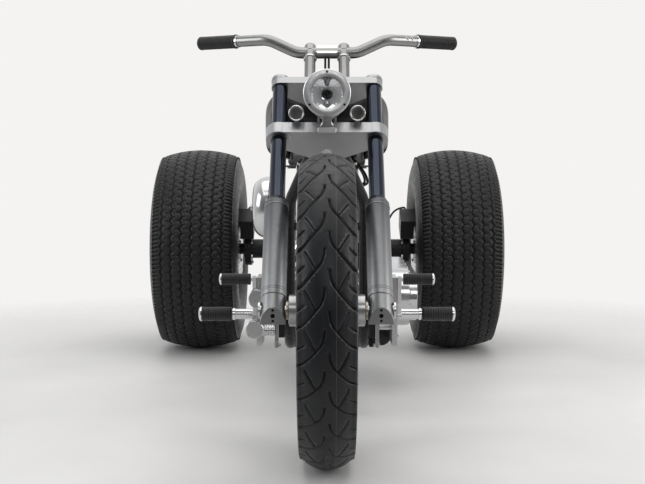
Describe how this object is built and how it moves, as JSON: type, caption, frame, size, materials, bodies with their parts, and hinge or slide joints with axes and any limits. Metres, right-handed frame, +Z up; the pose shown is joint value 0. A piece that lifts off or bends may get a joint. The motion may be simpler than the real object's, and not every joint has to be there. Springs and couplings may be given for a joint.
{
  "type": "motorized trike",
  "caption": "Custom motorized trike with a raked wide fork and narrow front wheel, V-twin engine, teardrop tank and a solid axle with wide balloon rear tyres.",
  "frame": {"origin": "on the ground, under the middle of the overall length and width", "axes": "+Z up, -Y towards the front wheel (forwards), +X to the rider's left"},
  "size_m": [1.331, 2.6361, 1.0979],
  "materials": {
    "frame_paint": "satin dark grey",
    "tank_paint": "gloss black",
    "seat_leather": "matt black",
    "chrome": "polished",
    "billet": "satin machined",
    "polished_alloy": "polished",
    "cast_alloy": "cast",
    "black_metal": "satin black",
    "rubber": "matt",
    "tyre": "matt",
    "belt": "matt",
    "steel": "brushed",
    "lens": "clear",
    "red_lens": "gloss red",
    "plate_paint": "gloss white",
    "wire": "matt black"
  },
  "bodies": {
    "chassis": {"frame_backbone": "frame_paint", "frame_cradle": "frame_paint", "frame_rear": "frame_paint", "fuel_tank": "tank_paint", "fuel_cap": "chrome", "seat_pan": "frame_paint", "seat": "seat_leather", "crankcase": "cast_alloy", "cylinder_front": "cast_alloy", "cylinder_rear": "cast_alloy", "rocker_boxes": "chrome", "pushrod_tubes": "chrome", "cam_cover": "polished_alloy", "air_cleaner": "polished_alloy", "primary_cover": "polished_alloy", "gearbox": "cast_alloy", "drive_belt": "belt", "exhaust_front": "chrome", "exhaust_rear": "chrome", "oil_tank": "chrome", "oil_filter": "black_metal", "axle_housing": "black_metal", "brake_calipers": "black_metal", "foot_controls": "billet", "foot_pegs": "rubber", "tail_light": "red_lens", "number_plate": "plate_paint"},
    "fork": {"steering_stem": "steel", "upper_clamp": "billet", "lower_clamp": "billet", "fork_tubes": "chrome", "fork_slider_left": "billet", "fork_slider_right": "billet", "front_axle": "steel", "handlebar": "billet", "grips": "rubber", "headlight": "polished_alloy", "headlight_lens": "lens", "turn_signals": "chrome", "bar_wires": "wire"},
    "front_wheel": {"front_tyre": "tyre", "front_rim": "polished_alloy"},
    "rear_wheel_left": {"rear_tyre_left": "tyre", "rear_rim_left": "polished_alloy", "brake_disc_left": "steel"},
    "rear_wheel_right": {"rear_tyre_right": "tyre", "rear_rim_right": "polished_alloy", "brake_disc_right": "steel"}
  },
  "joints": [
    {"name": "steering", "type": "hinge", "parent": "chassis", "child": "fork", "pos_m": [0, -0.50852, 0.83358], "axis": [0, 0.6293, 0.7771], "range_deg": [-32, 32]},
    {"name": "front_wheel_spin", "type": "hinge", "parent": "fork", "child": "front_wheel", "pos_m": [0, -0.94825, 0.37], "axis": [1, 0, 0], "continuous": true},
    {"name": "rear_wheel_left_spin", "type": "hinge", "parent": "chassis", "child": "rear_wheel_left", "pos_m": [0.5, 0.92475, 0.3935], "axis": [1, 0, 0], "continuous": true},
    {"name": "rear_wheel_right_spin", "type": "hinge", "parent": "chassis", "child": "rear_wheel_right", "pos_m": [-0.5, 0.92475, 0.3935], "axis": [1, 0, 0], "continuous": true}
  ]
}
